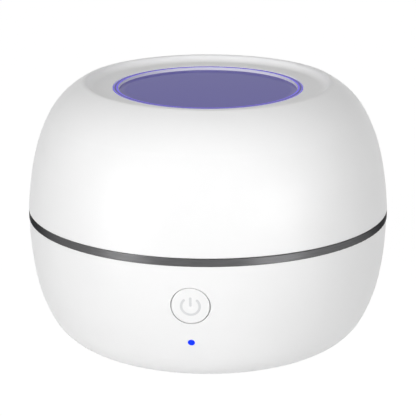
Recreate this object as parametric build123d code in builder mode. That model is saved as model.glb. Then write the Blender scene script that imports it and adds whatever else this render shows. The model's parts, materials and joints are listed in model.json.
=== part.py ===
from build123d import *
import os
from math import asin, cos, degrees, radians, sin, sqrt

# A round UV sterilizer pot for pacifiers: a white base with a chromed bowl, a metal ring at the
# parting line, and a white lift-off lid with a tinted window in a shallow dish on top.
# Millimetres and degrees. +Z is up, the origin is on the floor under the centre, and the button
# faces -Y. Tilts are the angles between the surface's normal and the horizontal.

# Outside of the base, three tangent arcs from the ring down to the flat bottom
base_radius = 60.0
base_side_radius = 101.5
base_side_tilt = 10.8
base_hip_radius = 50.9
base_hip_tilt = 28.2
base_foot_radius = 17.1
foot_standout = 0.8
wall = 2.2

# Trim ring
ring_standout = 0.2
ring_height = 2.7
ring_edge = 0.3

# Outside of the lid, four tangent arcs from the ring up to the crest, then the dish
lid_draft = 2.5
lid_side_radius = 109.6
lid_side_tilt = 11.6
lid_shoulder_radius = 54.4
lid_shoulder_tilt = 27.5
lid_brow_radius = 26.2
lid_brow_tilt = 62.1
crest_radius = 2.5
dish_depth = 2.06
dish_lip_radius = 1.2
dish_slope = 60.0
dish_flat = 5.7
dish_rib = 0.6
rim_edge = 0.3

# Window
window_thickness = 2.8
window_recess = 0.06
window_gap = 0.25
window_edge = 0.2
window_seat = 1.5
window_seat_thickness = 1.5
tape_thickness = 0.3
tape_margin = 0.2

# Chamber bowl
bowl_rim = 9.3
bowl_gap = 0.1
bowl_depth = 21.5
bowl_corner = 20.5
bowl_wall = 1.5
bowl_flange = 2.4
collar_wall = 0.8
collar_drop = 0.8
ledge_width = 1.8
ledge_thickness = 1.6
hub_edge = 2.5
hub_depth = 3.5

# Chamber seal
seal_inset = 1.3
seal_width = 1.6
seal_depth = 0.8
seal_gap = 0.1
seal_edge = 0.4

# Quartz lens, its gasket and the LED board
lens_radius = 9.0
lens_thickness = 1.2
lens_seat = 1.8
lens_gap = 0.05
lens_edge = 0.15
gasket_thickness = 0.7
led_board_inset = 0.3
led_board_thickness = 1.2
led_size = 3.5
led_height = 0.9
led_count = 3
led_margin = 3.4
led_lens_radius = 1.1
led_lens_height = 0.23
led_screw_margin = 1.0

# Lid liner
foot_gap = 0.45
liner_step = 1.0
liner_wall = 1.5
liner_corner = 17.0
liner_floor = 1.6
liner_rim_wall = 1.4
liner_rim_height = 4.1
spigot_gap = 0.4
flange_lift = 0.35
flange_gap = 0.3

# Screws and posts
screw_inset = 4.2
screw_count = 4
screw_shaft_radius = 1.0
screw_head_radius = 1.9
screw_head_height = 1.2
screw_slot = 0.5
slot_reach = 0.6
pilot_gap = 0.05
head_gap = 0.2
head_depth = 1.4
post_radius = 2.4
post_length = 14.0
post_pilot = 9.0
rib_thickness = 1.4
small_shaft_radius = 0.7
small_head_radius = 1.3
small_head_height = 0.8
small_post_radius = 2.1
small_pilot = 2.3
post_sink = 0.1

# Magnets
magnet_inset = 5.2
magnet_radius = 2.0
magnet_thickness = 2.0
magnet_cover = 0.8
magnet_boss_radius = 2.9
magnet_gap = 0.05
magnet_floor_gap = 0.1
lid_magnet_count = 4
lid_magnet_boss = 3.2

# Bottom plate and feet
plate_margin = 2.5
plate_thickness = 2.0
plate_gap = 0.2
plate_lip = 3.7
plate_lip_thickness = 2.0
plate_screw_inset = 4.5
plate_post_height = 6.0
plate_post_radius = 2.7
pad_radius = 4.5
pad_recess = 1.0
pad_inset = 7.0
pad_count = 4
pad_edge = 0.4

# Button
button_tilt = 7.5
button_radius = 6.05
button_gap = 0.3
button_edge = 0.2
button_crown = 75.0
button_travel = 0.6
button_flange_width = 1.25
button_flange = 1.0
button_front = 2.6
button_stem_radius = 2.0
button_stem = 0.6
button_boss_width = 2.0

# Tact switch on the control board
switch_size = 6.0
switch_body = 2.6
switch_can = 0.3
plunger_radius = 1.7
plunger_gap = 0.1
plunger_standout = 0.9
plunger_shoe_radius = 2.2
plunger_shoe = 0.4
control_board_thickness = 1.0
control_board_edge = 2.5
control_board_up = 8.5
control_board_down = 15.5
control_post_gap = 0.4

# Indicator
indicator_tilt = 19.3
pipe_radius = 1.12
pipe_gap = 0.05
pipe_collar_radius = 1.8
pipe_collar = 1.2
pipe_boss_radius = 2.7
led_chip_size = 2.0
led_chip_height = 0.8
pipe_end_gap = 0.2

# Hall sensor on the control board
hall_size = 2.9
hall_depth = 1.1
hall_height = 1.3
hall_up = 5.4

# Charging socket and main board
port_tilt = 22.9
socket_width = 8.94
socket_height = 3.26
socket_length = 7.35
socket_shell = 0.3
socket_tongue = 0.7
socket_gap = 0.18
port_depth = 1.25
port_margin = 1.7
port_wall = 3.2
main_board_thickness = 1.6
main_board_half_width = 16.5
main_board_length = 19.1
main_board_end_gap = 1.03
main_post_edge = 3.5
main_post_near = 3.0
main_post_far = 11.0
chip_size = 4.0
chip_height = 1.0
chip_x = 7.5
chip_setback = 11.5
inductor_size = 6.0
inductor_height = 3.0
inductor_edge = 1.5
inductor_setback = 10.0
plug_width = 6.0
plug_depth = 4.5
plug_height = 3.2
plug_spacing = 7.2
plug_setback = 2.5

# Battery
battery_side_gap = 10.5
battery_width = 34.0
battery_thickness = 8.0
battery_edge = 1.5
battery_offset = -6.0
foam_inset = 4.5
foam_thickness = 2.2

# Rack
rack_gap = 1.35
rack_thickness = 1.8
rack_bar = 2.4
rack_rim = 3.0
rack_centre_radius = 3.8
rack_rings = 4
rack_spokes = 12
rack_inner_spokes = 4
rack_height = 8.0
rack_post_radius = 1.8
rack_post_count = 4

# Leads
lead_radius = 0.5
lead_spacing = 1.1
short_bend = 1.0
lead_bend = 3.0
led_lead_y = 9.5
led_lead_drop = 2.0
battery_lead_height = 4.0
control_lead_gap = 7.0
control_lead_end = 6.0
control_lead_run = 5.0


def end_of(start, heading, turns):
    # Where a chain of tangent arcs ends. A turn is (radius, angle), and a positive one bends left.
    across, up = start
    for radius, angle in turns:
        side = 1 if angle > 0 else -1
        after = heading + angle
        across += side * radius * (sin(radians(after)) - sin(radians(heading)))
        up += side * radius * (cos(radians(heading)) - cos(radians(after)))
        heading = after
    return across, up


def draw_turns(start, heading, turns):
    # Draws the same chain of arcs in the line being built, and returns its end.
    for radius, angle in turns:
        arc = JernArc(start, (cos(radians(heading)), sin(radians(heading))), radius, angle)
        start = arc @ 1
        heading += angle
    return start.X, start.Y


def base_turns(inset, tilt=90.0):
    # The base's arcs from the ring down to the place where the normal has the given tilt.
    side = min(tilt, base_side_tilt)
    turns = [(base_side_radius - inset, -side)]
    if tilt > base_side_tilt:
        hip = min(tilt, base_hip_tilt)
        turns.append((base_hip_radius - inset, base_side_tilt - hip))
    if tilt > base_hip_tilt:
        turns.append((base_foot_radius - inset, base_hip_tilt - tilt))
    return turns


def lid_turns(inset):
    # The lid's side, shoulder and brow, from the ring up.
    return [
        (lid_side_radius - inset, lid_side_tilt - lid_draft),
        (lid_shoulder_radius - inset, lid_shoulder_tilt - lid_side_tilt),
        (lid_brow_radius - inset, lid_brow_tilt - lid_shoulder_tilt),
    ]


# Heights and radii that follow
base_bottom = foot_standout
bottom_radius, base_drop = end_of((base_radius, 0), -90, base_turns(0))
shell_top = base_bottom - base_drop
parting = shell_top + ring_height
ring_radius = base_radius + ring_standout
ring_inner = base_radius - wall
lid_rise = 90 + lid_draft
crest_turn = (crest_radius, 90 - lid_brow_tilt)
crest = end_of((ring_radius, parting), lid_rise, [*lid_turns(0), crest_turn])
dish_floor = crest[1] - dish_depth
dish_fillet = dish_depth / (1 - cos(radians(dish_slope))) - dish_lip_radius
dish_turns = [(dish_lip_radius, dish_slope), (dish_fillet, -dish_slope)]
dish_foot = end_of(crest, 180, dish_turns)[0]
window_top = dish_floor - window_recess
window_bottom = window_top - window_thickness
window_seat_top = window_bottom - tape_thickness
cup_bottom = window_seat_top - window_seat_thickness
cup_hole = dish_foot - dish_flat
window_radius = cup_hole - window_gap
view_radius = window_radius - window_seat


def surface_point(tilt):
    # The point of the base's outside, as (radius, height), where the normal has the given tilt.
    return end_of((base_radius, shell_top), -90, base_turns(0, tilt))


def base_face(inset):
    # Half section of the space inside the base's outside, drawn in by the inset.
    with BuildSketch(Plane.XZ) as face:
        with BuildLine():
            start = (base_radius - inset, shell_top)
            end = draw_turns(start, -90, base_turns(inset))
            Polyline(end, (0, end[1]), (0, shell_top), start)
        make_face()
    return face.sketch


def lid_face():
    # Half section of the lid's outside, with its crest and dish.
    with BuildSketch(Plane.XZ) as face:
        with BuildLine():
            start = (ring_radius, parting)
            end = draw_turns(start, lid_rise, [*lid_turns(0), crest_turn])
            end = draw_turns(end, 180, dish_turns)
            Polyline(end, (0, end[1]), (0, parting), start)
        make_face()
    return face.sketch


def lid_hollow(inset):
    # Half section of the lid's inside, drawn in by the inset, with a slope under the dish's wall.
    drop = (inset * cos(radians(lid_draft)), inset * sin(radians(lid_draft)))
    start = (ring_radius - drop[0], parting - drop[1])
    with BuildSketch(Plane.XZ) as face:
        with BuildLine():
            end = draw_turns(start, lid_rise, lid_turns(inset))
            under_dish = (dish_foot + dish_rib, dish_floor - inset)
            Polyline(end, under_dish, (0, under_dish[1]), (0, start[1]), start)
        make_face()
    return face.sketch


def rounded_cup(radius, corner, floor, mouth, low):
    # Half section of a cup or dome with one round corner, open at its mouth. Low is -1 for a cup
    # that stands on its floor and 1 for a dome that hangs from it.
    with BuildSketch(Plane.XZ) as face:
        with BuildLine():
            corner_start = (radius - corner, floor)
            corner_end = draw_turns(corner_start, 0, [(corner, -low * 90)])
            Polyline(corner_end, (radius, mouth), (0, mouth), (0, floor), corner_start)
        make_face()
    return face.sketch


def disc(height, radius, thickness, mode=Mode.ADD):
    # A round slab on the axis from the height up, in the part being built.
    with Locations((0, 0, height)):
        Cylinder(radius, thickness, align=(Align.CENTER, Align.CENTER, Align.MIN), mode=mode)


def ring(height, inner, outer, thickness, mode=Mode.ADD):
    # A flat ring on the axis from the height up, in the part being built.
    with BuildSketch(Plane.XY.offset(height)) as flat:
        Circle(outer)
        Circle(inner, mode=Mode.SUBTRACT)
    extrude(flat.sketch, amount=thickness, mode=mode)


def pin(radius, length, mode=Mode.ADD):
    # A cylinder from each current location, along its Z.
    Cylinder(radius, length, align=(Align.CENTER, Align.CENTER, Align.MIN), mode=mode)


def screw(shaft_radius, shaft_length, head_radius, head_height):
    # A cross-headed screw at each current location, with its head above and its shaft below.
    Cylinder(head_radius, head_height, align=(Align.CENTER, Align.CENTER, Align.MIN))
    Cylinder(shaft_radius, shaft_length, align=(Align.CENTER, Align.CENTER, Align.MAX))
    slot_align = (Align.CENTER, Align.CENTER, Align.MAX)
    with Locations((0, 0, head_height)):
        slot_length = 2 * slot_reach * head_radius
        Box(slot_length, screw_slot, head_height / 2, align=slot_align, mode=Mode.SUBTRACT)
        Box(screw_slot, slot_length, head_height / 2, align=slot_align, mode=Mode.SUBTRACT)


def looking_down(height):
    # A plane at the height that faces the floor.
    return Plane(origin=(0, 0, height), x_dir=(1, 0, 0), z_dir=(0, 0, -1))


def front_plane(tilt, depth=0.0):
    # A plane square to the base's front at the given tilt and depth. Its Y runs up the surface.
    radius, height = surface_point(tilt)
    facing = Vector(0, -cos(radians(tilt)), -sin(radians(tilt)))
    origin = Vector(0, -radius, height) - facing * depth
    return Plane(origin=origin, x_dir=(1, 0, 0), z_dir=facing)


def save(builder, name):
    builder.part.label = name
    export_step(builder.part, f"parts/{name}.step")


os.makedirs("parts", exist_ok=True)

# Radii that follow the button's cap and depths behind its front
button_flange_radius = button_radius + button_flange_width
button_boss_radius = button_flange_radius + button_boss_width
control_screw_spacing = 2 * (button_boss_radius + small_post_radius + control_post_gap)
control_board_half_width = control_screw_spacing / 2 + control_board_edge
flange_depth = button_front + button_flange
plunger_depth = flange_depth + button_stem
switch_depth = plunger_depth + plunger_standout
board_depth = switch_depth + switch_body
control_face = front_plane(button_tilt, board_depth)
indicator_front = front_plane(indicator_tilt)

# The light pipe's axis meets the control board's front here
to_board = (control_face.origin - indicator_front.origin).dot(control_face.z_dir)
pipe_reach = abs(to_board / indicator_front.z_dir.dot(control_face.z_dir))
indicator_spot = indicator_front.origin - indicator_front.z_dir * pipe_reach
indicator_down = (indicator_spot - control_face.origin).dot(control_face.y_dir)

# Radii inside the base that follow the ring, the flat bottom and the lens
flange_radius = ring_inner - bowl_gap
bowl_radius = ring_inner - bowl_rim
ledge_inner = ring_inner - ledge_width
screw_circle = ring_inner - screw_inset
magnet_circle = ring_inner - magnet_inset
rib_reach = screw_inset + wall
plate_radius = bottom_radius - plate_margin
plate_screw_circle = plate_radius - plate_screw_inset
pad_circle = plate_radius - pad_inset
led_screw_circle = lens_radius + led_screw_margin
hub_radius = led_screw_circle + hub_edge
led_board_radius = hub_radius - led_board_inset
led_circle = lens_radius - lens_seat - led_margin

# Heights inside the base
bowl_floor = shell_top - bowl_depth
bowl_under = bowl_floor - bowl_wall
hub_bottom = bowl_floor - hub_depth
flange_bottom = shell_top - bowl_flange
plate_top = base_bottom + plate_thickness
plate_pilot = plate_post_height - pad_recess
plate_screw_length = plate_thickness - screw_head_height + plate_pilot - head_gap
inner_floor = base_bottom + wall
port_radius, port_height = surface_point(port_tilt)
port_face = port_radius - port_depth
socket_mouth = port_face - socket_gap
recess_width = socket_width + 2 * port_margin
recess_height = socket_height + 2 * port_margin
main_board_reach = port_face - port_wall - main_board_end_gap
main_board_front = main_board_reach - main_board_length
board_top = port_height - socket_height / 2
board_bottom = board_top - main_board_thickness
post_root = inner_floor - post_sink
rack_bottom = bowl_floor + rack_height
rack_below = bowl_corner - rack_height
rack_radius = bowl_radius - bowl_corner + sqrt(bowl_corner**2 - rack_below**2) - rack_gap
rack_pitch = (rack_radius - rack_rim / 2 - rack_centre_radius) / rack_rings
rack_ring_radii = [rack_centre_radius + n * rack_pitch for n in range(rack_rings, -1, -1)]
rack_post_circle = rack_ring_radii[2]
liner_foot = shell_top + foot_gap
liner_radius = bowl_radius + liner_step
liner_boss_top = liner_foot + liner_rim_height
liner_ceiling = cup_bottom - liner_wall
spigot_radius = flange_radius - collar_wall - spigot_gap
battery_bottom = plate_top + foam_thickness
battery_length = 2 * (plate_radius - battery_side_gap)
main_post_x = main_board_half_width - main_post_edge
main_posts = [
    (side * main_post_x, main_board_front + setback)
    for side in (-1, 1)
    for setback in (main_post_near, main_post_far)
]

# Solid inside the base's wall that its posts and bosses grow from
with BuildPart() as base_bosses:
    # posts for the bowl's screws, each with a rib to the wall
    with BuildSketch(Plane.XY.offset(flange_bottom)):
        with PolarLocations(screw_circle, screw_count, start_angle=45):
            Circle(post_radius)
            Rectangle(rib_reach, rib_thickness, align=(Align.MIN, Align.CENTER))
    extrude(amount=-post_length)
    # posts for the main board
    with Locations((0, 0, post_root)):
        with Locations(*main_posts):
            pin(small_post_radius, board_bottom - post_root)
    # block behind the charging port
    with Locations((0, port_face - port_wall / 2 + port_depth, port_height)):
        Box(
            recess_width + 2 * port_margin,
            port_wall + 2 * port_depth,
            recess_height + 2 * port_margin,
        )
    # sleeve round the button, and posts for the control board beside it
    with BuildSketch(control_face):
        Circle(button_boss_radius)
        with GridLocations(control_screw_spacing, 1, 2, 1):
            Circle(small_post_radius)
            Rectangle(small_post_radius * 2, rib_thickness)
    extrude(amount=board_depth)
    # sleeve round the light pipe
    with BuildSketch(front_plane(indicator_tilt, wall + pipe_collar)):
        Circle(pipe_boss_radius)
    extrude(amount=wall + pipe_collar)
    # everything stops in the middle of the wall
    revolve(base_face(wall / 2), mode=Mode.INTERSECT)

with BuildPart() as base_shell:
    revolve(base_face(0))
    revolve(base_face(wall), mode=Mode.SUBTRACT)
    # ledge that the bowl's flange rests on, with a slope under it
    with BuildSketch(Plane.XZ) as ledge:
        with BuildLine():
            in_wall = ring_inner + wall / 2
            Polyline(
                (ledge_inner, flange_bottom),
                (in_wall, flange_bottom),
                (in_wall, flange_bottom - ledge_thickness - ledge_width - wall / 2),
                (ledge_inner, flange_bottom - ledge_thickness),
                close=True,
            )
        make_face()
    revolve(ledge.sketch)
    # lip round the bottom opening, and posts for the plate's screws
    ring(plate_top, plate_radius - plate_lip, bottom_radius, plate_lip_thickness)
    with BuildSketch(Plane.XY.offset(plate_top)):
        with PolarLocations(plate_screw_circle, screw_count):
            Circle(plate_post_radius)
    extrude(amount=plate_post_height)
    disc(base_bottom, plate_radius + plate_gap, plate_thickness, mode=Mode.SUBTRACT)
    with BuildSketch(Plane.XY.offset(plate_top)):
        Circle(plate_radius - plate_lip)
        with PolarLocations(plate_screw_circle, screw_count):
            Circle(plate_post_radius, mode=Mode.SUBTRACT)
    extrude(amount=plate_lip_thickness, mode=Mode.SUBTRACT)
    add(base_bosses.part)
    # pilot holes
    with Locations((0, 0, flange_bottom)):
        with PolarLocations(screw_circle, screw_count, start_angle=45):
            Cylinder(
                screw_shaft_radius + pilot_gap,
                post_pilot,
                align=(Align.CENTER, Align.CENTER, Align.MAX),
                mode=Mode.SUBTRACT,
            )
    with Locations((0, 0, plate_top)):
        with PolarLocations(plate_screw_circle, screw_count):
            pin(screw_shaft_radius + pilot_gap, plate_pilot, mode=Mode.SUBTRACT)
    with Locations((0, 0, board_bottom - small_pilot)):
        with Locations(*main_posts):
            pin(small_shaft_radius + pilot_gap, small_pilot, mode=Mode.SUBTRACT)
    with BuildSketch(control_face):
        with GridLocations(control_screw_spacing, 1, 2, 1):
            Circle(small_shaft_radius + pilot_gap)
    extrude(amount=small_pilot, mode=Mode.SUBTRACT)
    # button hole, its pocket and the light pipe's stepped hole
    with BuildSketch(front_plane(button_tilt, -wall)):
        Circle(button_radius + button_gap)
    extrude(amount=-(board_depth + wall), mode=Mode.SUBTRACT)
    with BuildSketch(control_face):
        Circle(button_flange_radius + button_gap)
    extrude(amount=switch_body + plunger_standout + button_stem + button_flange, mode=Mode.SUBTRACT)
    pipe_hole = 2 * (wall + pipe_collar)
    with BuildSketch(front_plane(indicator_tilt, -wall)):
        Circle(pipe_radius + pipe_gap)
    extrude(amount=-pipe_hole, mode=Mode.SUBTRACT)
    with BuildSketch(front_plane(indicator_tilt, wall)):
        Circle(pipe_collar_radius + pipe_gap)
    extrude(amount=-pipe_hole, mode=Mode.SUBTRACT)
    # charging port: a shallow recess with a slot for the socket
    with BuildSketch(Plane.XZ.offset(-port_face)):
        with Locations((0, port_height)):
            SlotOverall(recess_width, recess_height)
    extrude(amount=-2 * port_depth - wall, mode=Mode.SUBTRACT)
    with BuildSketch(Plane.XZ.offset(-port_face)):
        with Locations((0, port_height)):
            SlotOverall(socket_width + 2 * socket_gap, socket_height + 2 * socket_gap)
    extrude(amount=2 * port_wall, mode=Mode.SUBTRACT)
save(base_shell, "base_shell")

with BuildPart() as trim_ring:
    ring(shell_top, ring_inner, ring_radius, ring_height)
    fillet(trim_ring.edges().filter_by(GeomType.CIRCLE).sort_by(SortBy.RADIUS)[-2:], ring_edge)
save(trim_ring, "trim_ring")

with BuildPart() as base_plate:
    disc(base_bottom, plate_radius, plate_thickness)
    with Locations((0, 0, base_bottom)):
        with PolarLocations(plate_screw_circle, screw_count):
            pin(screw_shaft_radius + head_gap, plate_thickness, mode=Mode.SUBTRACT)
            pin(screw_head_radius + head_gap, screw_head_height, mode=Mode.SUBTRACT)
        with PolarLocations(pad_circle, pad_count, start_angle=45):
            pin(pad_radius + pad_edge / 2, pad_recess, mode=Mode.SUBTRACT)
save(base_plate, "base_plate")

with BuildPart(looking_down(base_bottom + screw_head_height)) as base_plate_screws:
    with PolarLocations(plate_screw_circle, screw_count):
        screw(screw_shaft_radius, plate_screw_length, screw_head_radius, screw_head_height - head_gap)
save(base_plate_screws, "base_plate_screws")

with BuildPart() as rubber_feet:
    with PolarLocations(pad_circle, pad_count, start_angle=45):
        pin(pad_radius, base_bottom + pad_recess)
    chamfer(rubber_feet.edges().group_by(Axis.Z)[0], pad_edge)
save(rubber_feet, "rubber_feet")

# Chamber: a round cup with a flat flange, a collar that centres the trim ring, and a hub for the lens
with BuildPart() as chamber_bowl:
    revolve(rounded_cup(bowl_radius + bowl_wall, bowl_corner + bowl_wall, bowl_under, shell_top, -1))
    ring(flange_bottom, bowl_radius, flange_radius, bowl_flange)
    ring(shell_top, flange_radius - collar_wall, flange_radius, ring_height - collar_drop)
    disc(hub_bottom, hub_radius, hub_depth)
    base_magnet_top = shell_top - magnet_cover
    base_magnet_bottom = base_magnet_top - magnet_thickness
    with Locations((0, 0, base_magnet_bottom - magnet_floor_gap)):
        with PolarLocations(magnet_circle, lid_magnet_count - 1, start_angle=0, angular_range=180,
                            endpoint=True):
            pin(magnet_boss_radius, flange_bottom - base_magnet_bottom + magnet_floor_gap)
            pin(magnet_radius + magnet_gap, magnet_thickness + magnet_floor_gap, mode=Mode.SUBTRACT)
    revolve(rounded_cup(bowl_radius, bowl_corner, bowl_floor, parting, -1), mode=Mode.SUBTRACT)
    # lens seat, light hole, pilot holes for the LED board
    disc(bowl_floor - lens_thickness - gasket_thickness, lens_radius + lens_gap, hub_depth,
         mode=Mode.SUBTRACT)
    disc(hub_bottom, lens_radius - lens_seat, hub_depth, mode=Mode.SUBTRACT)
    with Locations((0, 0, hub_bottom)):
        with PolarLocations(led_screw_circle, led_count):
            pin(small_shaft_radius + pilot_gap, hub_depth / 2, mode=Mode.SUBTRACT)
    # groove for the seal, screw holes with room for their heads
    seal_inner = bowl_radius + seal_inset
    ring(shell_top - seal_depth, seal_inner, seal_inner + seal_width, seal_depth, mode=Mode.SUBTRACT)
    with Locations((0, 0, flange_bottom)):
        with PolarLocations(screw_circle, screw_count, start_angle=45):
            pin(screw_shaft_radius + head_gap, bowl_flange, mode=Mode.SUBTRACT)
    with Locations((0, 0, shell_top - head_depth)):
        with PolarLocations(screw_circle, screw_count, start_angle=45):
            pin(screw_head_radius + head_gap, head_depth, mode=Mode.SUBTRACT)
    # posts that carry the rack
    with Locations((0, 0, bowl_floor)):
        with PolarLocations(rack_post_circle, rack_post_count, start_angle=45):
            pin(rack_post_radius, rack_height)
save(chamber_bowl, "chamber_bowl")

with BuildPart(Plane.XY.offset(shell_top - head_depth)) as bowl_screws:
    with PolarLocations(screw_circle, screw_count, start_angle=45):
        screw(screw_shaft_radius, post_pilot - head_gap, screw_head_radius, screw_head_height)
save(bowl_screws, "bowl_screws")

with BuildPart() as chamber_seal:
    seal_height = seal_depth + foot_gap - seal_gap
    ring(shell_top - seal_depth, seal_inner, seal_inner + seal_width, seal_height)
    fillet(chamber_seal.edges().group_by(Axis.Z)[-1], seal_edge)
save(chamber_seal, "chamber_seal")

with BuildPart() as base_magnets:
    with Locations((0, 0, base_magnet_bottom)):
        with PolarLocations(magnet_circle, lid_magnet_count - 1, start_angle=0, angular_range=180,
                            endpoint=True):
            pin(magnet_radius, magnet_thickness)
save(base_magnets, "base_magnets")

with BuildPart() as quartz_lens:
    disc(bowl_floor - lens_thickness, lens_radius, lens_thickness)
    chamfer(quartz_lens.edges().group_by(Axis.Z)[-1], lens_edge)
save(quartz_lens, "quartz_lens")

with BuildPart() as lens_gasket:
    ring(bowl_floor - lens_thickness - gasket_thickness, lens_radius - lens_seat, lens_radius,
         gasket_thickness)
save(lens_gasket, "lens_gasket")

with BuildPart() as uvc_board:
    disc(hub_bottom - led_board_thickness, led_board_radius, led_board_thickness)
    with Locations((0, 0, hub_bottom - led_board_thickness)):
        with PolarLocations(led_screw_circle, led_count):
            pin(small_shaft_radius + head_gap, led_board_thickness, mode=Mode.SUBTRACT)
save(uvc_board, "uvc_board")

with BuildPart(looking_down(hub_bottom - led_board_thickness)) as uvc_board_screws:
    with PolarLocations(led_screw_circle, led_count):
        screw(
            small_shaft_radius,
            led_board_thickness + hub_depth / 2 - head_gap,
            small_head_radius,
            small_head_height,
        )
save(uvc_board_screws, "uvc_board_screws")

with BuildPart(Plane.XY.offset(hub_bottom)) as uvc_leds:
    with PolarLocations(led_circle, led_count, start_angle=60):
        Box(led_size, led_size, led_height, align=(Align.CENTER, Align.CENTER, Align.MIN))
        with Locations((0, 0, led_height)):
            pin(led_lens_radius, led_lens_height)
save(uvc_leds, "uvc_leds")

# Control board square to the button, with the switch, the indicator and the lid sensor on it
with BuildPart() as control_board:
    with BuildSketch(control_face):
        board_height = control_board_up + control_board_down
        with Locations((0, (control_board_up - control_board_down) / 2)):
            RectangleRounded(2 * control_board_half_width, board_height, small_post_radius)
        with GridLocations(control_screw_spacing, 1, 2, 1):
            Circle(small_shaft_radius + head_gap, mode=Mode.SUBTRACT)
    extrude(amount=-control_board_thickness)
save(control_board, "control_board")

with BuildPart(front_plane(button_tilt, board_depth + control_board_thickness).rotated((180, 0, 0))
               ) as control_board_screws:
    with GridLocations(control_screw_spacing, 1, 2, 1):
        screw(
            small_shaft_radius,
            control_board_thickness + small_post_radius,
            small_head_radius,
            small_head_height,
        )
save(control_board_screws, "control_board_screws")

with BuildPart() as tact_switch:
    with BuildSketch(control_face):
        Rectangle(switch_size, switch_size)
        Circle(plunger_shoe_radius + plunger_gap, mode=Mode.SUBTRACT)
    extrude(amount=switch_body)
    with BuildSketch(control_face):
        Circle(plunger_shoe_radius + plunger_gap)
    extrude(amount=switch_body - plunger_shoe - button_travel - switch_can)
    with BuildSketch(front_plane(button_tilt, switch_depth)):
        Circle(plunger_shoe_radius + plunger_gap)
        Circle(plunger_radius + plunger_gap, mode=Mode.SUBTRACT)
    extrude(amount=-switch_can)
save(tact_switch, "tact_switch")

with BuildPart() as switch_plunger:
    with BuildSketch(front_plane(button_tilt, switch_depth + switch_can)):
        Circle(plunger_shoe_radius)
    extrude(amount=-plunger_shoe)
    with BuildSketch(front_plane(button_tilt, switch_depth + switch_can)):
        Circle(plunger_radius)
    extrude(amount=switch_can + plunger_standout)
save(switch_plunger, "switch_plunger")

# Button: cap, flange and stem in one turned form, with a crown halfway between the side's curvatures
with BuildPart() as power_button:
    front = front_plane(button_tilt)
    crown_turn = degrees(asin(button_radius / button_crown))
    cut = Plane(origin=front.origin, x_dir=front.x_dir, z_dir=front.x_dir.cross(front.z_dir))
    with BuildSketch(cut) as half_section:
        with BuildLine():
            end = draw_turns((0, 0), 0, [(button_crown, -crown_turn)])
            Polyline(
                end,
                (button_radius, -button_front),
                (button_flange_radius, -button_front),
                (button_flange_radius, -flange_depth),
                (button_stem_radius, -flange_depth),
                (button_stem_radius, -plunger_depth),
                (0, -plunger_depth),
                (0, 0),
            )
        make_face()
        fillet(half_section.vertices().sort_by(Axis.Y)[-2], button_edge)
    revolve(axis=Axis(front.origin, front.z_dir))
save(power_button, "power_button")

with BuildPart() as lid_sensor:
    with BuildSketch(control_face):
        with Locations((0, hall_up)):
            Rectangle(hall_size, hall_height)
    extrude(amount=hall_depth)
save(lid_sensor, "lid_sensor")

with BuildPart() as indicator_chip:
    with BuildSketch(control_face):
        with Locations((0, indicator_down)):
            Rectangle(led_chip_size, led_chip_size)
    extrude(amount=led_chip_height)
save(indicator_chip, "indicator_chip")

with BuildPart() as light_pipe:
    pipe_length = pipe_reach - led_chip_height - pipe_end_gap
    with BuildSketch(front_plane(indicator_tilt, pipe_length)):
        Circle(pipe_radius)
    extrude(amount=pipe_length + wall)
    with BuildSketch(front_plane(indicator_tilt, wall + pipe_collar)):
        Circle(pipe_collar_radius)
    extrude(amount=pipe_collar)
    revolve(base_face(0), mode=Mode.INTERSECT)
save(light_pipe, "light_pipe")

# Main board behind the battery, with the charging socket at its edge
with BuildPart() as main_board:
    with BuildSketch(Plane.XY.offset(board_bottom)):
        Circle(main_board_reach)
        with Locations((0, main_board_front)):
            Rectangle(
                2 * main_board_half_width,
                main_board_reach,
                align=(Align.CENTER, Align.MIN),
                mode=Mode.INTERSECT,
            )
        with Locations(*main_posts):
            Circle(small_shaft_radius + head_gap, mode=Mode.SUBTRACT)
    extrude(amount=main_board_thickness)
save(main_board, "main_board")

with BuildPart(Plane.XY.offset(board_top)) as main_board_screws:
    with Locations(*main_posts):
        screw(
            small_shaft_radius,
            main_board_thickness + small_post_radius,
            small_head_radius,
            small_head_height,
        )
save(main_board_screws, "main_board_screws")

with BuildPart() as usb_socket:
    with BuildSketch(Plane.XZ.offset(-socket_mouth)):
        with Locations((0, port_height)):
            SlotOverall(socket_width, socket_height)
    extrude(amount=socket_length)
    with BuildSketch(Plane.XZ.offset(-socket_mouth)):
        with Locations((0, port_height)):
            SlotOverall(socket_width - 2 * socket_shell, socket_height - 2 * socket_shell)
            Rectangle(socket_width - socket_height, socket_tongue, mode=Mode.SUBTRACT)
    extrude(amount=socket_length - socket_shell, mode=Mode.SUBTRACT)
save(usb_socket, "usb_socket")

with BuildPart(Plane.XY.offset(board_top)) as board_chips:
    chip_y = main_board_front + chip_setback
    with Locations((-chip_x, chip_y), (chip_x, chip_y)):
        Box(chip_size, chip_size, chip_height, align=(Align.CENTER, Align.CENTER, Align.MIN))
save(board_chips, "board_chips")

with BuildPart() as inductor:
    with BuildSketch(Plane.XY.offset(board_top)):
        with Locations((0, main_board_front + inductor_setback)):
            RectangleRounded(inductor_size, inductor_size, inductor_edge)
    extrude(amount=inductor_height)
save(inductor, "inductor")

plug_y = main_board_front + plug_setback
with BuildPart(Plane.XY.offset(board_top)) as lead_sockets:
    with Locations((-plug_spacing, plug_y), (0, plug_y), (plug_spacing, plug_y)):
        Box(plug_width, plug_depth, plug_height, align=(Align.CENTER, Align.CENTER, Align.MIN))
save(lead_sockets, "lead_sockets")

# Battery on its foam pad
with BuildPart() as foam_pad:
    with BuildSketch(Plane.XY.offset(plate_top)):
        with Locations((0, battery_offset)):
            Rectangle(battery_length - 2 * foam_inset, battery_width - 2 * foam_inset)
    extrude(amount=foam_thickness)
save(foam_pad, "foam_pad")

with BuildPart() as battery:
    with BuildSketch(Plane.XY.offset(battery_bottom)):
        with Locations((0, battery_offset)):
            Rectangle(battery_length, battery_width)
    extrude(amount=battery_thickness)
    fillet(battery.edges().filter_by(Axis.X), battery_edge)
save(battery, "battery")

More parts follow.
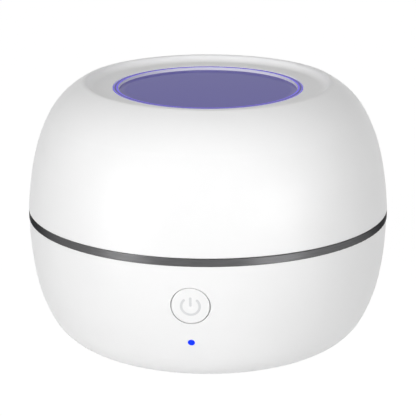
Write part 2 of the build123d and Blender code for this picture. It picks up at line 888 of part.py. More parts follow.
# Leads, each a round tube along straight runs joined by arcs
plug_front = plug_y - plug_depth / 2
plug_middle = board_top + plug_height / 2


def lead(plane, points, bend):
    # One insulated wire in the given plane, added to the part being built.
    with BuildLine(plane) as path:
        FilletPolyline(*points, radius=bend)
    with BuildSketch(Plane(origin=path.line @ 0, z_dir=path.line % 0)) as section:
        Circle(lead_radius)
    sweep(sections=section.sketch, path=path.line)


with BuildPart() as led_leads:
    led_lead_height = hub_bottom - led_board_thickness - led_lead_drop
    for side in (-1, 1):
        lead(
            Plane.YZ.offset(side * lead_spacing / 2),
            [
                (plug_front, plug_middle),
                (plug_front - lead_bend, plug_middle),
                (2 * led_lead_y, led_lead_height),
                (led_lead_y, led_lead_height),
                (led_lead_y, hub_bottom - led_board_thickness),
            ],
            short_bend,
        )
save(led_leads, "led_leads")

with BuildPart() as battery_leads:
    battery_end = battery_offset + battery_width / 2
    lead_rise = (plug_front - battery_end) / 3
    for side in (-1, 1):
        lead(
            Plane.YZ.offset(side * lead_spacing / 2 - plug_spacing),
            [
                (battery_end, battery_bottom + battery_lead_height),
                (battery_end + lead_rise, battery_bottom + battery_lead_height),
                (plug_front - lead_rise, plug_middle),
                (plug_front, plug_middle),
            ],
            lead_bend,
        )
save(battery_leads, "battery_leads")

with BuildPart() as control_leads:
    back = control_face.offset(-control_board_thickness)
    control_lead_side = battery_length / 2 + control_lead_gap
    for level in (-1, 0, 1):
        height = plug_middle + level * lead_spacing
        board_y = back.origin.Y - (height - back.origin.Z) * back.z_dir.Z / back.z_dir.Y
        lead(
            Plane.XY.offset(height),
            [
                (plug_spacing, plug_front),
                (plug_spacing, plug_front - 2 * control_lead_run),
                (control_lead_side, battery_end),
                (control_lead_side, battery_offset - battery_width / 2),
                (control_lead_side / 2, board_y + 2 * control_lead_run),
                (control_lead_end, board_y + control_lead_run),
                (control_lead_end, board_y),
            ],
            lead_bend,
        )
save(control_leads, "control_leads")

# Loose rack over the lens: a rim, rings and spokes in one flat grille
with BuildPart() as pacifier_rack:
    with BuildSketch(Plane.XY.offset(rack_bottom)):
        Circle(rack_radius)
        Circle(rack_radius - rack_rim, mode=Mode.SUBTRACT)
        for radius in rack_ring_radii[1:]:
            with BuildSketch() as hoop:
                Circle(radius + rack_bar / 2)
                Circle(radius - rack_bar / 2, mode=Mode.SUBTRACT)
            add(hoop.sketch)
        outer_spoke = rack_ring_radii[0] - rack_ring_radii[-2]
        with PolarLocations(rack_ring_radii[-2] + outer_spoke / 2, rack_spokes):
            Rectangle(outer_spoke, rack_bar)
        inner_spoke = rack_ring_radii[-2] - rack_ring_radii[-1]
        with PolarLocations(rack_ring_radii[-1] + inner_spoke / 2, rack_inner_spokes):
            Rectangle(inner_spoke, rack_bar)
    extrude(amount=rack_thickness)
save(pacifier_rack, "pacifier_rack")

# Solid inside the lid's wall that its screw posts grow from
with BuildPart() as lid_posts:
    with BuildSketch(Plane.XY.offset(liner_boss_top)):
        with PolarLocations(screw_circle, screw_count, start_angle=45):
            Circle(post_radius)
            Rectangle(rib_reach, rib_thickness, align=(Align.MIN, Align.CENTER))
    extrude(amount=post_length)
    revolve(lid_hollow(wall / 2), mode=Mode.INTERSECT)

with BuildPart() as lid_shell:
    revolve(lid_face())
    revolve(lid_hollow(wall), mode=Mode.SUBTRACT)
    # cup round the window, with the seat that the tape sticks to
    disc(cup_bottom, cup_hole + wall, dish_floor - cup_bottom)
    disc(window_seat_top, cup_hole, dish_floor - window_seat_top, mode=Mode.SUBTRACT)
    disc(cup_bottom, view_radius, window_seat_thickness, mode=Mode.SUBTRACT)
    # soft edges at the rim and round the window
    circles = lid_shell.edges().filter_by(GeomType.CIRCLE)
    rim = circles.group_by(Axis.Z)[0].sort_by(SortBy.RADIUS)[-1]
    hole = circles.filter_by(lambda edge: abs(edge.radius - cup_hole) < window_gap / 2)
    fillet([rim], rim_edge)
    fillet([hole.sort_by(Axis.Z)[-1]], window_edge)
    add(lid_posts.part)
    with Locations((0, 0, liner_boss_top)):
        with PolarLocations(screw_circle, screw_count, start_angle=45):
            pin(screw_shaft_radius + pilot_gap, post_pilot, mode=Mode.SUBTRACT)
save(lid_shell, "lid_shell")

with BuildPart() as window:
    disc(window_bottom, window_radius, window_thickness)
    fillet(window.edges().group_by(Axis.Z)[-1], window_edge)
save(window, "window")

with BuildPart() as window_tape:
    ring(window_seat_top, view_radius + tape_margin, window_radius, tape_thickness)
save(window_tape, "window_tape")

# Chromed inner dome of the lid. Its foot is a channel that drops inside the collar and centres the
# lid, with bosses for the magnets and screws.
with BuildPart() as lid_liner:
    revolve(rounded_cup(liner_radius + liner_wall, liner_corner + liner_wall, cup_bottom, liner_foot, 1))
    ring(liner_foot, liner_radius, spigot_radius, liner_floor)
    ring(liner_foot, spigot_radius - liner_rim_wall, spigot_radius, liner_rim_height)
    flange_height = liner_foot + liner_rim_height - parting - flange_lift
    ring(parting + flange_lift, spigot_radius - liner_rim_wall, ring_radius - wall - flange_gap,
         flange_height)
    with Locations((0, 0, liner_foot)):
        with PolarLocations(screw_circle, screw_count, start_angle=45):
            pin(magnet_boss_radius, liner_rim_height)
        with PolarLocations(magnet_circle, lid_magnet_count):
            pin(magnet_boss_radius, lid_magnet_boss)
    revolve(rounded_cup(liner_radius, liner_corner, liner_ceiling, liner_foot, 1), mode=Mode.SUBTRACT)
    disc(liner_ceiling, view_radius, liner_wall, mode=Mode.SUBTRACT)
    with Locations((0, 0, liner_foot)):
        with PolarLocations(screw_circle, screw_count, start_angle=45):
            pin(screw_shaft_radius + head_gap, liner_rim_height, mode=Mode.SUBTRACT)
            pin(screw_head_radius + head_gap, head_depth, mode=Mode.SUBTRACT)
    with Locations((0, 0, liner_foot + magnet_cover)):
        with PolarLocations(magnet_circle, lid_magnet_count):
            pin(magnet_radius + magnet_gap, lid_magnet_boss - magnet_cover, mode=Mode.SUBTRACT)
save(lid_liner, "lid_liner")

with BuildPart() as lid_magnets:
    with Locations((0, 0, liner_foot + magnet_cover)):
        with PolarLocations(magnet_circle, lid_magnet_count):
            pin(magnet_radius, magnet_thickness)
save(lid_magnets, "lid_magnets")

with BuildPart(looking_down(liner_foot + head_depth)) as lid_screws:
    with PolarLocations(screw_circle, screw_count, start_angle=45):
        screw(
            screw_shaft_radius,
            liner_rim_height - head_depth + post_pilot - head_gap,
            screw_head_radius,
            screw_head_height,
        )
save(lid_screws, "lid_screws")
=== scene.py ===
import bpy
import json
import math
import numpy as np
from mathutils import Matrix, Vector

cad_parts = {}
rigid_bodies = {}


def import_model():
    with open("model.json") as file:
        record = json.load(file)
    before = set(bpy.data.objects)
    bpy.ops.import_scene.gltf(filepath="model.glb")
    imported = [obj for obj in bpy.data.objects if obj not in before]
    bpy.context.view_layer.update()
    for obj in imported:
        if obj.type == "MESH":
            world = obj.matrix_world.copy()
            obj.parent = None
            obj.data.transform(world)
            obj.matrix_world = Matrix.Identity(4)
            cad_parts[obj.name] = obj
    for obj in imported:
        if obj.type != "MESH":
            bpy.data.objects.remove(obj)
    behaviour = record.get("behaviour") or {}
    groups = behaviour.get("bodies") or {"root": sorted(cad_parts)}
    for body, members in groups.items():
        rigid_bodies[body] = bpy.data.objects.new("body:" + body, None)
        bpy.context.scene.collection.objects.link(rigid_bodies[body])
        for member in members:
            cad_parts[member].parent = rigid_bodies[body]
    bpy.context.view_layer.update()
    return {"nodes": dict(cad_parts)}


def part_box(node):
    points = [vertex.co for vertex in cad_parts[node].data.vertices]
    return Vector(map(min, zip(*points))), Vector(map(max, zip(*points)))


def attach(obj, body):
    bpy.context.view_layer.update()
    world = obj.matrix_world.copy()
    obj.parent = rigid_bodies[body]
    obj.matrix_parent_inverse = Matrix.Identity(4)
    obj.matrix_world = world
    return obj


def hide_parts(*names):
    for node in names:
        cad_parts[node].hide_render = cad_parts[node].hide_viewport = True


# A round UV sterilizer pot: white base and lid, a brushed ring between them, and a violet window
# on top. Lengths in the tables are in millimetres and angles in degrees. Meshes are in metres.

print("stage: frame")
for leftover in list(bpy.data.objects):
    bpy.data.objects.remove(leftover)
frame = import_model()
nodes = frame["nodes"]
mm = 0.001
sharpAngle = 35
cornerPoints = 5
windowLow, windowHigh = (np.array(corner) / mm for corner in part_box("window"))
windowRadius, windowBottom, windowTop = windowHigh[0], windowLow[2], windowHigh[2]


# Shapes

def roundCorner(before, corner, after, radius):
    # The arc of the given radius that touches both runs of a corner: it starts and ends
    # radius * tan(turn / 2) from the corner, and bulges by the circle about the inner centre.
    before, corner, after = (np.array(p, float) for p in (before, corner, after))
    inward = (before - corner) / np.linalg.norm(before - corner)
    onward = (after - corner) / np.linalg.norm(after - corner)
    half = math.acos(np.clip(inward @ onward, -1, 1)) / 2
    middle = (inward + onward) / np.linalg.norm(inward + onward)
    centre = corner + middle * radius / math.sin(half)
    start = corner + inward * radius / math.tan(half) - centre
    end = corner + onward * radius / math.tan(half) - centre
    share = np.linspace(0, 1, cornerPoints)[:, None]
    span = math.acos(np.clip(start @ end / radius ** 2, -1, 1))
    blend = np.sin((1 - share) * span) * start + np.sin(share * span) * end
    return centre + blend / math.sin(span)


def pathOf(corners, radii):
    # A path through the given corners, each rounded by its radius where that isn't zero.
    corners = [np.array(c, float) for c in corners]
    runs = []
    for n, radius in enumerate(radii):
        if radius:
            runs.append(roundCorner(corners[n - 1], corners[n], corners[n + 1], radius))
        else:
            runs.append(corners[n][None])
    return np.concatenate(runs)


def withRings(path, inset):
    # Adds a point the given distance inside both ends of every run over four times as long, so that
    # smooth shading turns only at the rounded corners and flat faces stay flat.
    runs = [path[:1]]
    for before, after in zip(path[:-1], path[1:]):
        length = np.linalg.norm(after - before)
        if length > 4 * inset:
            offset = (after - before) * inset / length
            runs.append(np.array([before + offset, after - offset]))
        runs.append(after[None])
    return np.concatenate(runs)


def meshFrom(name, points, faces):
    # A mesh of the points, in millimetres, with smooth faces and sharp edges past the sharp angle.
    mesh = bpy.data.meshes.new(name)
    mesh.from_pydata((np.asarray(points) * mm).tolist(), [], faces)
    mesh.update()
    mesh.shade_smooth()
    mesh.set_sharp_from_angle(angle=math.radians(sharpAngle))
    return mesh


def closedGrid(grid, ends):
    # Rows of points that close round: a quad for each (row, column), (row, column + 1),
    # (row + 1, column + 1), (row + 1, column), and fans to end points past the outer rows.
    rows, columns = grid.shape[:2]
    number = np.arange(rows * columns).reshape(rows, columns)
    number = np.hstack([number, number[:, :1]])
    quads = np.stack([number[:-1, :-1], number[:-1, 1:], number[1:, 1:], number[1:, :-1]], axis=-1)
    end = np.full(columns, rows * columns)
    faces = quads.reshape(-1, 4).tolist()
    faces += np.column_stack([end, number[0, 1:], number[0, :-1]]).tolist()
    faces += np.column_stack([end + 1, number[-1, :-1], number[-1, 1:]]).tolist()
    return np.vstack([grid.reshape(-1, 3), ends]), faces


def lathe(profile, columns):
    # A profile (r, z) carried round Z: (x, y, z) = (r cos a, r sin a, z) for a full turn of a.
    # It runs from one pole on the axis out and up, and back to the other pole.
    angle = np.linspace(0, 2 * np.pi, columns, endpoint=False)
    radius, height = profile[1:-1, :1], profile[1:-1, 1:]
    grid = np.stack([radius * np.cos(angle), radius * np.sin(angle), height + 0 * angle], axis=-1)
    return closedGrid(grid, [[0.0, 0.0, profile[0][1]], [0.0, 0.0, profile[-1][1]]])


def joined(*parts):
    # Several (points, faces) pairs as one.
    points, faces, first = [], [], 0
    for somePoints, someFaces in parts:
        points.append(somePoints)
        faces += [[first + corner for corner in face] for face in someFaces]
        first += len(somePoints)
    return np.vstack(points), faces


def addPiece(name, shape, material, body, slot, *replaced):
    # A new piece of the object: its mesh, finish, body and the CAD nodes it stands for. The slot is
    # not used.
    piece = bpy.data.objects.new(name, meshFrom(name, *shape))
    bpy.context.scene.collection.objects.link(piece)
    piece.data.materials.append(material)
    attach(piece, body)
    if replaced:
        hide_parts(*replaced)


# Finishes

# A noise changes the colour between the cloud ends. Cloud and gloss are its size as times the
# grain. Streak, polish and scratch are its size in millimetres. Low and high are times the
# roughness.
cloudEnds = (0.3, 0.7)
mouldedGrain = {"cloud": 14, "gloss": 5, "low": 0.85, "high": 1.15}
metalGrain = {"streak": 6.0, "polish": 2.0, "scratch": 0.5, "detail": 3.0, "low": 0.8, "high": 1.25}


def shaderOf(material):
    return material.node_tree.nodes["Principled BSDF"]


def newMaterial(name, colour, roughness):
    # A Principled material. The sockets that are listed under its name get constants.
    material = bpy.data.materials.new(name)
    material.use_nodes = True
    inputs = shaderOf(material).inputs
    inputs["Base Color"].default_value = (*colour, 1)
    inputs["Roughness"].default_value = roughness
    for socket, value in shaderSockets.get(name, {}).items():
        inputs[socket].default_value = value
    return material


def wire(material, source, output, target, socket):
    material.node_tree.links.new(source.outputs[output], target.inputs[socket])


def addNode(material, kind, **settings):
    node = material.node_tree.nodes.new(kind)
    for setting, value in settings.items():
        setattr(node, setting, value)
    return node


def placeOf(material, stretch=(1, 1, 1)):
    # Object coordinates, stretched so that a pattern can run along one way.
    coordinates = addNode(material, "ShaderNodeTexCoord")
    mapping = addNode(material, "ShaderNodeMapping")
    mapping.inputs["Scale"].default_value = stretch
    wire(material, coordinates, "Object", mapping, "Vector")
    return mapping


def noiseOf(material, grain, detail=2.0, stretch=(1, 1, 1)):
    # Noise whose grain is about the given number of millimetres across.
    place = placeOf(material, stretch)
    noise = addNode(material, "ShaderNodeTexNoise")
    noise.inputs["Scale"].default_value = 1 / (grain * mm)
    noise.inputs["Detail"].default_value = detail
    wire(material, place, "Vector", noise, "Vector")
    return noise


def spread(material, source, socket, low, high):
    # Carries a noise into a socket of the shader, as values from low to high.
    span = addNode(material, "ShaderNodeMapRange")
    span.inputs["To Min"].default_value = low
    span.inputs["To Max"].default_value = high
    wire(material, source, 0, span, "Value")
    wire(material, span, "Result", shaderOf(material), socket)


def relief(material, source, height):
    # Bump of the given height in millimetres.
    bump = addNode(material, "ShaderNodeBump")
    bump.inputs["Distance"].default_value = height * mm
    wire(material, source, 0, bump, "Height")
    wire(material, bump, "Normal", shaderOf(material), "Normal")


def shades(material, source, dark, light):
    # Colour that runs from dark to light with a noise.
    ramp = addNode(material, "ShaderNodeValToRGB")
    ramp.color_ramp.elements[0].position, ramp.color_ramp.elements[1].position = cloudEnds
    ramp.color_ramp.elements[0].color = (*dark, 1)
    ramp.color_ramp.elements[1].color = (*light, 1)
    wire(material, source, 0, ramp, "Fac")
    wire(material, ramp, "Color", shaderOf(material), "Base Color")


def moulded(name, dark, light, roughness, grain, height):
    # Moulded plastic: a faint cloudiness, an uneven gloss and fine orange peel.
    material = newMaterial(name, light, roughness)
    low, high = roughness * mouldedGrain["low"], roughness * mouldedGrain["high"]
    shades(material, noiseOf(material, grain * mouldedGrain["cloud"]), dark, light)
    spread(material, noiseOf(material, grain * mouldedGrain["gloss"]), "Roughness", low, high)
    relief(material, noiseOf(material, grain), height)
    return material


def metal(name, dark, light, roughness, stretch, height):
    # Bare metal: streaks along one way, an uneven polish and fine scratches.
    material = newMaterial(name, light, roughness)
    shaderOf(material).inputs["Metallic"].default_value = 1.0
    detail = metalGrain["detail"]
    low, high = roughness * metalGrain["low"], roughness * metalGrain["high"]
    shades(material, noiseOf(material, metalGrain["streak"], detail, stretch), dark, light)
    polish = noiseOf(material, metalGrain["polish"], detail, stretch)
    spread(material, polish, "Roughness", low, high)
    relief(material, noiseOf(material, metalGrain["scratch"], detail, stretch), height)
    return material


def plain(name, colour, roughness, grain, height):
    # One colour all over, with a fine relief.
    material = newMaterial(name, colour, roughness)
    relief(material, noiseOf(material, grain), height)
    return material


print("stage: finishes")
# Dark shade, light shade, roughness, grain and height of the relief in millimetres.
plastics = {
    "whitePlastic": ((0.875, 0.875, 0.875), (0.89, 0.89, 0.89), 0.42, 1.4, 0.002),
    "buttonPlastic": ((0.875, 0.875, 0.875), (0.89, 0.89, 0.89), 0.34, 0.9, 0.002),
    "tapeBlack": ((0.012, 0.012, 0.014), (0.022, 0.022, 0.025), 0.6, 0.4, 0.002),
    "quartzGlass": ((0.95, 0.97, 1.0), (1.0, 1.0, 1.0), 0.03, 1.4, 0.0004),
    "sealSilicone": ((0.50, 0.51, 0.53), (0.60, 0.61, 0.63), 0.55, 0.5, 0.002),
    "footRubber": ((0.03, 0.03, 0.032), (0.05, 0.05, 0.052), 0.75, 0.3, 0.01),
    "platePlastic": ((0.80, 0.805, 0.81), (0.85, 0.853, 0.86), 0.5, 0.5, 0.008),
    "circuitBoard": ((0.012, 0.10, 0.045), (0.02, 0.16, 0.07), 0.35, 0.3, 0.002),
    "ledCeramic": ((0.80, 0.79, 0.74), (0.90, 0.89, 0.84), 0.4, 0.2, 0.002),
    "blackPackage": ((0.012, 0.012, 0.013), (0.03, 0.03, 0.031), 0.5, 0.15, 0.002),
    "socketWhite": ((0.72, 0.71, 0.66), (0.80, 0.79, 0.74), 0.45, 0.3, 0.002),
    "switchPlastic": ((0.03, 0.03, 0.032), (0.06, 0.06, 0.062), 0.45, 0.3, 0.002),
    "plungerPlastic": ((0.35, 0.34, 0.30), (0.45, 0.44, 0.40), 0.4, 0.3, 0.002),
    "batteryWrap": ((0.10, 0.16, 0.42), (0.14, 0.22, 0.52), 0.3, 2.0, 0.02),
    "foamGrey": ((0.12, 0.12, 0.125), (0.22, 0.22, 0.225), 0.95, 0.5, 0.2),
    "redLead": ((0.50, 0.02, 0.015), (0.62, 0.03, 0.02), 0.4, 0.4, 0.002),
    "whiteLead": ((0.72, 0.72, 0.70), (0.82, 0.82, 0.80), 0.4, 0.4, 0.002),
    "rackPlastic": ((0.66, 0.67, 0.69), (0.76, 0.77, 0.79), 0.4, 0.6, 0.002),
    "signGrey": ((0.66, 0.665, 0.675), (0.70, 0.705, 0.715), 0.4, 0.3, 0.002),
}
# Dark shade, light shade, roughness, how the streaks are stretched, height of the scratches.
metals = {
    "brushedRing": ((0.115, 0.115, 0.118), (0.15, 0.15, 0.153), 0.4, (1, 1, 30), 0.001),
    "chromedPlastic": ((0.74, 0.75, 0.77), (0.80, 0.81, 0.83), 0.10, (1, 1, 1), 0.0006),
    "screwSteel": ((0.42, 0.42, 0.43), (0.60, 0.60, 0.61), 0.3, (1, 1, 1), 0.001),
    "magnetNickel": ((0.60, 0.59, 0.56), (0.70, 0.69, 0.66), 0.18, (1, 1, 1), 0.001),
    "aluminiumBoard": ((0.66, 0.67, 0.68), (0.80, 0.80, 0.81), 0.35, (1, 12, 1), 0.001),
    "socketSteel": ((0.50, 0.50, 0.51), (0.66, 0.66, 0.67), 0.25, (1, 1, 1), 0.001),
}
# Colour, roughness, grain and height of the relief.
plainFinishes = {
    "lightGuide": ((0.001, 0.004, 0.2), 0.4, 0.4, 0.004),
    "windowViolet": ((0.105, 0.085, 0.515), 0.03, 3.0, 0.0006),
}
# What else each finish sets on its shader.
shaderSockets = {
    "quartzGlass": {"Transmission Weight": 1.0, "IOR": 1.46},
    "brushedRing": {"Anisotropic": 0.75, "Anisotropic Rotation": 0.25,
                    "Specular Tint": (0.2, 0.2, 0.2, 1)},
    "lightGuide": {"Specular IOR Level": 0.1, "Emission Color": (0.003, 0.042, 1.0, 1),
                   "Emission Strength": 0.95},
    # The window's emission carries the painted glow of its rim.
    "windowViolet": {"IOR": 1.49, "Transmission Weight": 0.12, "Specular IOR Level": 0.02,
                     "Emission Strength": 1.0},
}
finishes = {name: moulded(name, *values) for name, values in plastics.items()}
finishes.update({name: metal(name, *values) for name, values in metals.items()})
finishes.update({name: plain(name, *values) for name, values in plainFinishes.items()})

nodeFinish = {
    "base_shell": "whitePlastic", "trim_ring": "brushedRing", "base_plate": "platePlastic",
    "base_plate_screws": "screwSteel", "rubber_feet": "footRubber",
    "chamber_bowl": "chromedPlastic", "bowl_screws": "screwSteel",
    "chamber_seal": "sealSilicone", "base_magnets": "magnetNickel", "quartz_lens": "quartzGlass",
    "lens_gasket": "sealSilicone", "uvc_board": "aluminiumBoard",
    "uvc_board_screws": "screwSteel", "uvc_leds": "ledCeramic", "control_board": "circuitBoard",
    "control_board_screws": "screwSteel", "tact_switch": "switchPlastic",
    "switch_plunger": "plungerPlastic", "power_button": "buttonPlastic",
    "lid_sensor": "blackPackage", "indicator_chip": "ledCeramic", "light_pipe": "lightGuide",
    "main_board": "circuitBoard", "main_board_screws": "screwSteel", "usb_socket": "socketSteel",
    "board_chips": "blackPackage", "inductor": "blackPackage", "lead_sockets": "socketWhite",
    "foam_pad": "foamGrey", "battery": "batteryWrap", "led_leads": "redLead",
    "battery_leads": "redLead", "control_leads": "whiteLead", "pacifier_rack": "rackPlastic",
    "lid_shell": "whitePlastic", "window": "windowViolet", "window_tape": "tapeBlack",
    "lid_liner": "chromedPlastic", "lid_magnets": "magnetNickel", "lid_screws": "screwSteel",
}
for name, material in nodeFinish.items():
    nodes[name].data.materials.clear()
    nodes[name].data.materials.append(finishes[material])

print("stage: window")
windowPane = {
    "rimWidth": 1.6, "lipWidth": 0.3, "glowWidth": 0.5, "recess": 0.95, "fillet": 0.16,
    "edge": 0.12, "support": 0.3, "columns": 288, "reach": 6.0,
    "colours": {
        "violet": plainFinishes["windowViolet"][0], "reflectionFade": (0.25, 0.22, 0.56),
        "paleReflection": (0.80, 0.80, 0.82), "gapShadow": (0.04, 0.03, 0.24), "lipHighlight": (0.20, 0.17, 0.60),
        "dim": (0.0, 0.0, 0.0), "glow": (0.055, 0.025, 0.42), "lipGlow": (0.09, 0.07, 0.34),
    },
    # Each stop is a line of the disc, a distance inwards from it, and a colour from above.
    # A painted pale reflection lies on the little wall, and the floor is painted lighter where it
    # meets it.
    "paint": [("wall", 2.6, "violet"), ("wall", 0.12, "reflectionFade"), ("wall", 0.04, "paleReflection"),
              ("wall", -0.02, "paleReflection"), ("wall", -0.1, "violet"), ("glow", -0.1, "violet"),
              # Just inside the outer edge comes a painted shadow of the gap round the pane, then a
              # painted highlight on the very edge.
              ("lipHighlight", 0.1, "gapShadow"), ("lipHighlight", -0.05, "lipHighlight")],
    # The emission stops paint a glow along the foot of the wall and at the outer edge, though the
    # pane is no lamp.
    "light": [("wall", -0.02, "dim"), ("wall", -0.12, "glow"), ("glow", -0.1, "glow"),
              ("glow", -0.25, "dim"), ("lipHighlight", 0.1, "dim"), ("lipHighlight", -0.05, "lipGlow")],
}


def paneProfile():
    # Half section of the disc from pole to pole: a sunk middle, a fillet, a short wall, a flat rim
    # level with the dish, a plain side and a flat underside.
    wall, floor = windowRadius - windowPane["rimWidth"], windowTop - windowPane["recess"]
    corners = [(0, floor), (wall, floor), (wall, windowTop), (windowRadius, windowTop),
               (windowRadius, windowBottom), (0, windowBottom)]
    edge = windowPane["edge"]
    path = pathOf(corners, [0, windowPane["fillet"], edge, edge, edge, 0])
    return withRings(path, windowPane["support"])[::-1]


def ringsOf(material, stops, socket):
    # Colour by distance from the Z axis, over the reach that ends at the outer edge of the disc.
    # The lines of the disc are the wall, the end of the painted glow along it, and the inner edge
    # of the lip with its painted highlight.
    rim, reach = windowPane["rimWidth"], windowPane["reach"]
    lines = {"wall": rim, "glow": rim - windowPane["glowWidth"], "lipHighlight": windowPane["lipWidth"]}
    length = addNode(material, "ShaderNodeVectorMath", operation="LENGTH")
    wire(material, placeOf(material, (1, 1, 0)), "Vector", length, 0)
    share = addNode(material, "ShaderNodeMapRange")
    share.inputs["From Min"].default_value = (windowRadius - reach) * mm
    share.inputs["From Max"].default_value = windowRadius * mm
    wire(material, length, "Value", share, "Value")
    ramp = addNode(material, "ShaderNodeValToRGB")
    for n, (line, inwards, colour) in enumerate(stops):
        stop = ramp.color_ramp.elements[n] if n < 2 else ramp.color_ramp.elements.new(1.0)
        stop.position = 1 - (lines[line] + inwards) / reach
        stop.color = (*windowPane["colours"][colour], 1)
    wire(material, share, "Result", ramp, "Fac")
    wire(material, ramp, "Color", shaderOf(material), socket)


# Violet in the middle, a painted pale reflection up the little wall, and a painted glow along both
# edges of the rim, though the pane is no lamp.
windowViolet = finishes["windowViolet"]
ringsOf(windowViolet, windowPane["paint"], "Base Color")
ringsOf(windowViolet, windowPane["light"], "Emission Color")
paneShape = lathe(paneProfile(), windowPane["columns"])
addPiece("window_pane", paneShape, windowViolet, "lid", "tinted_window", "window")

print("stage: power sign")
powerSign = {
    "apex": (0, -59.132, 30.105), "tilt": 7.5, "crown": 75.0,
    "radius": 2.9, "stroke": 0.8, "opening": 37, "barLow": -0.1, "barHigh": 3.15, "height": 0.03,
    "arcPoints": 72, "barPoints": 24, "sectionPoints": 12,
}


def strokeOf(line, width, height, count):
    # A flat raised stroke along a line in the plane. With s along the line and t round the section
    # it is line(s) + across(s) * w(s) * c, at height h * k, where c and k are the signed square
    # roots of cos t and sin t, and w is width / 2 but falls off as a circle at both ends.
    step = np.gradient(line, axis=0)
    along = step / np.linalg.norm(step, axis=1)[:, None]
    across = np.column_stack([-along[:, 1], along[:, 0]])
    run = np.concatenate([[0], np.cumsum(np.linalg.norm(np.diff(line, axis=0), axis=1))])
    near = np.clip(np.minimum(run, run[-1] - run) / (width / 2), 0, 1)
    half = width / 2 * np.sqrt(1 - (1 - near) ** 2)
    turn = np.linspace(0, 2 * np.pi, count, endpoint=False) + np.pi / count
    side = np.sign(np.cos(turn)) * np.sqrt(np.abs(np.cos(turn)))
    rise = np.sign(np.sin(turn)) * np.sqrt(np.abs(np.sin(turn))) * height
    flat = line[1:-1, None] + across[1:-1, None] * (half[1:-1, None, None] * side[None, :, None])
    grid = np.dstack([flat, np.broadcast_to(rise, flat.shape[:2])])
    return closedGrid(grid, [[*line[0], 0.0], [*line[-1], 0.0]])


def onCap(points):
    # Puts flat points (right, up, height) on the button's crown: apex + right * u + up * v + n * d,
    # with d = height + sqrt(R^2 - right^2 - up^2) - R.
    tilt = math.radians(powerSign["tilt"])
    outward = np.array([0, -math.cos(tilt), -math.sin(tilt)])
    upward = np.array([0, -math.sin(tilt), math.cos(tilt)])
    crown = powerSign["crown"]
    depth = points[:, 2] + np.sqrt(crown ** 2 - points[:, 0] ** 2 - points[:, 1] ** 2) - crown
    return (np.array(powerSign["apex"]) + points[:, :1] * [1, 0, 0] + points[:, 1:2] * upward
            + depth[:, None] * outward)


def powerSignShape():
    # An arc that is open at the top and a bar that stands in the opening.
    sign = powerSign
    angle = np.radians(90 + np.linspace(sign["opening"], 360 - sign["opening"], sign["arcPoints"]))
    arc = sign["radius"] * np.column_stack([np.cos(angle), np.sin(angle)])
    rise = np.linspace(sign["barLow"], sign["barHigh"], sign["barPoints"])
    bar = np.column_stack([0 * rise, rise])
    points, faces = joined(*[strokeOf(line, sign["stroke"], sign["height"], sign["sectionPoints"])
                             for line in (arc, bar)])
    return onCap(points), faces


addPiece("power_sign", powerSignShape(), finishes["signGrey"], "button", "button_plastic")

print("stage: floor, lights and camera")
room = {
    "floorSize": 9000, "floorDrop": 0.02, "floorWhite": 0.92, "floorRoughness": 0.9,
    "shine": 0.9, "shineLevel": 1.07, "worldLevel": 0.2,
    "target": 44.72, "distance": 676.6, "elevation": 16.44, "azimuth": 5.33,
    "lens": 173.4, "sensor": 36,
}
# Azimuth, elevation, distance, width, height, power in watts, whether it lights the object, and
# whether it shows in reflections.
lamps = {
    "keyLamp": (-33, 18, 1500, 700, 700, 10.5, True, False),
    "frontLamp": (10, 28, 1500, 700, 700, 5.4, True, False),
    "sideLamp": (75, 5, 1500, 600, 700, 4.0, True, False),
    "highLamp": (36, 35, 1500, 700, 700, 2.5, True, False),
    "backLamp": (180, 5, 1500, 900, 700, 2.6, True, False),
    "lowBackLamp": (180, 0, 1500, 1200, 86, 8.0, True, False),
    "leftBox": (-46, 3, 1200, 480, 300, 4.8, False, True),
    "rightBox": (48, 3, 1200, 600, 300, 5.5, False, True),
}


def seenDirectly(tree):
    # 1 for camera, glossy and transmission rays, and 0 for the rest.
    path = tree.nodes.new("ShaderNodeLightPath")
    first = tree.nodes.new("ShaderNodeMath")
    second = tree.nodes.new("ShaderNodeMath")
    for node in (first, second):
        node.operation = "ADD"
        node.use_clamp = True
    tree.links.new(path.outputs["Is Camera Ray"], first.inputs[0])
    tree.links.new(path.outputs["Is Glossy Ray"], first.inputs[1])
    tree.links.new(first.outputs[0], second.inputs[0])
    tree.links.new(path.outputs["Is Transmission Ray"], second.inputs[1])
    return second.outputs[0]


def makeFloor():
    # A flat square a hair below the feet that looks white and still takes the shadow.
    half = room["floorSize"] / 2
    corners = [[x, y, -room["floorDrop"]]
               for x, y in ((-half, -half), (half, -half), (half, half), (-half, half))]
    material = bpy.data.materials.new("paleFloor")
    material.use_nodes = True
    tree = material.node_tree
    shader = tree.nodes["Principled BSDF"]
    shader.inputs["Base Color"].default_value = (room["floorWhite"],) * 3 + (1,)
    shader.inputs["Roughness"].default_value = room["floorRoughness"]
    shader.inputs["Specular IOR Level"].default_value = 0.0
    white = tree.nodes.new("ShaderNodeEmission")
    white.inputs["Strength"].default_value = room["shineLevel"]
    blend = tree.nodes.new("ShaderNodeMixShader")
    share = tree.nodes.new("ShaderNodeMath")
    share.operation = "MULTIPLY"
    share.inputs[1].default_value = room["shine"]
    tree.links.new(seenDirectly(tree), share.inputs[0])
    tree.links.new(share.outputs[0], blend.inputs[0])
    tree.links.new(shader.outputs[0], blend.inputs[1])
    tree.links.new(white.outputs[0], blend.inputs[2])
    tree.links.new(blend.outputs[0], tree.nodes["Material Output"].inputs["Surface"])
    floor = bpy.data.objects.new("floor", meshFrom("floor", corners, [[0, 1, 2, 3]]))
    bpy.context.scene.collection.objects.link(floor)
    floor.data.materials.append(material)


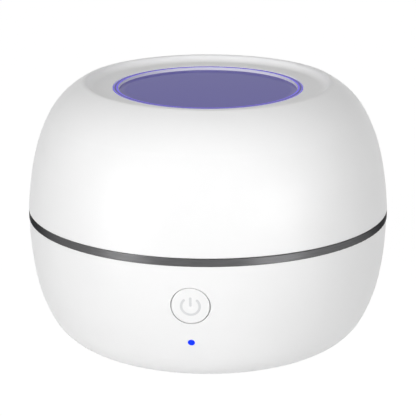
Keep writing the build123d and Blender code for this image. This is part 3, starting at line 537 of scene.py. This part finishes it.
def makeWorld():
    # Even light from all round; white where a ray from the camera or a reflection sees it.
    world = bpy.data.worlds.new("studio")
    bpy.context.scene.world = world
    world.use_nodes = True
    tree = world.node_tree
    tree.nodes.clear()
    soft = tree.nodes.new("ShaderNodeBackground")
    white = tree.nodes.new("ShaderNodeBackground")
    blend = tree.nodes.new("ShaderNodeMixShader")
    output = tree.nodes.new("ShaderNodeOutputWorld")
    soft.inputs["Color"].default_value = (1, 1, 1, 1)
    soft.inputs["Strength"].default_value = room["worldLevel"]
    white.inputs["Color"].default_value = (1, 1, 1, 1)
    tree.links.new(seenDirectly(tree), blend.inputs[0])
    tree.links.new(soft.outputs[0], blend.inputs[1])
    tree.links.new(white.outputs[0], blend.inputs[2])
    tree.links.new(blend.outputs[0], output.inputs[0])


def directionOf(azimuth, elevation):
    # The way from the object to a place round it. Azimuth 0 is the front, -Y, and 90 is +X.
    a, e = math.radians(azimuth), math.radians(elevation)
    return np.array([math.sin(a) * math.cos(e), -math.cos(a) * math.cos(e), math.sin(e)])


def lookAt(thing, place, target):
    thing.location = place
    thing.rotation_euler = Vector(target - place).to_track_quat("-Z", "Y").to_euler()


def addLamp(name, azimuth, elevation, distance, width, height, power, lights, mirrored):
    # A soft box that faces the object. It can light it, show in its reflections, or both.
    lamp = bpy.data.lights.new(name, "AREA")
    lamp.shape = "RECTANGLE"
    lamp.size, lamp.size_y = width * mm, height * mm
    lamp.energy = power
    holder = bpy.data.objects.new(name, lamp)
    bpy.context.scene.collection.objects.link(holder)
    holder.visible_diffuse = lights
    holder.visible_glossy = mirrored
    middle = np.array([0, 0, room["target"]]) * mm
    lookAt(holder, middle + directionOf(azimuth, elevation) * distance * mm, middle)


def makeCamera():
    camera = bpy.data.cameras.new("camera")
    camera.lens = room["lens"]
    camera.sensor_width = room["sensor"]
    holder = bpy.data.objects.new("camera", camera)
    bpy.context.scene.collection.objects.link(holder)
    middle = np.array([0, 0, room["target"]]) * mm
    away = directionOf(room["azimuth"], room["elevation"]) * room["distance"] * mm
    lookAt(holder, middle + away, middle)
    bpy.context.scene.camera = holder


makeFloor()
makeWorld()
for name, values in lamps.items():
    addLamp(name, *values)
makeCamera()
bpy.context.scene.view_settings.view_transform = "Standard"
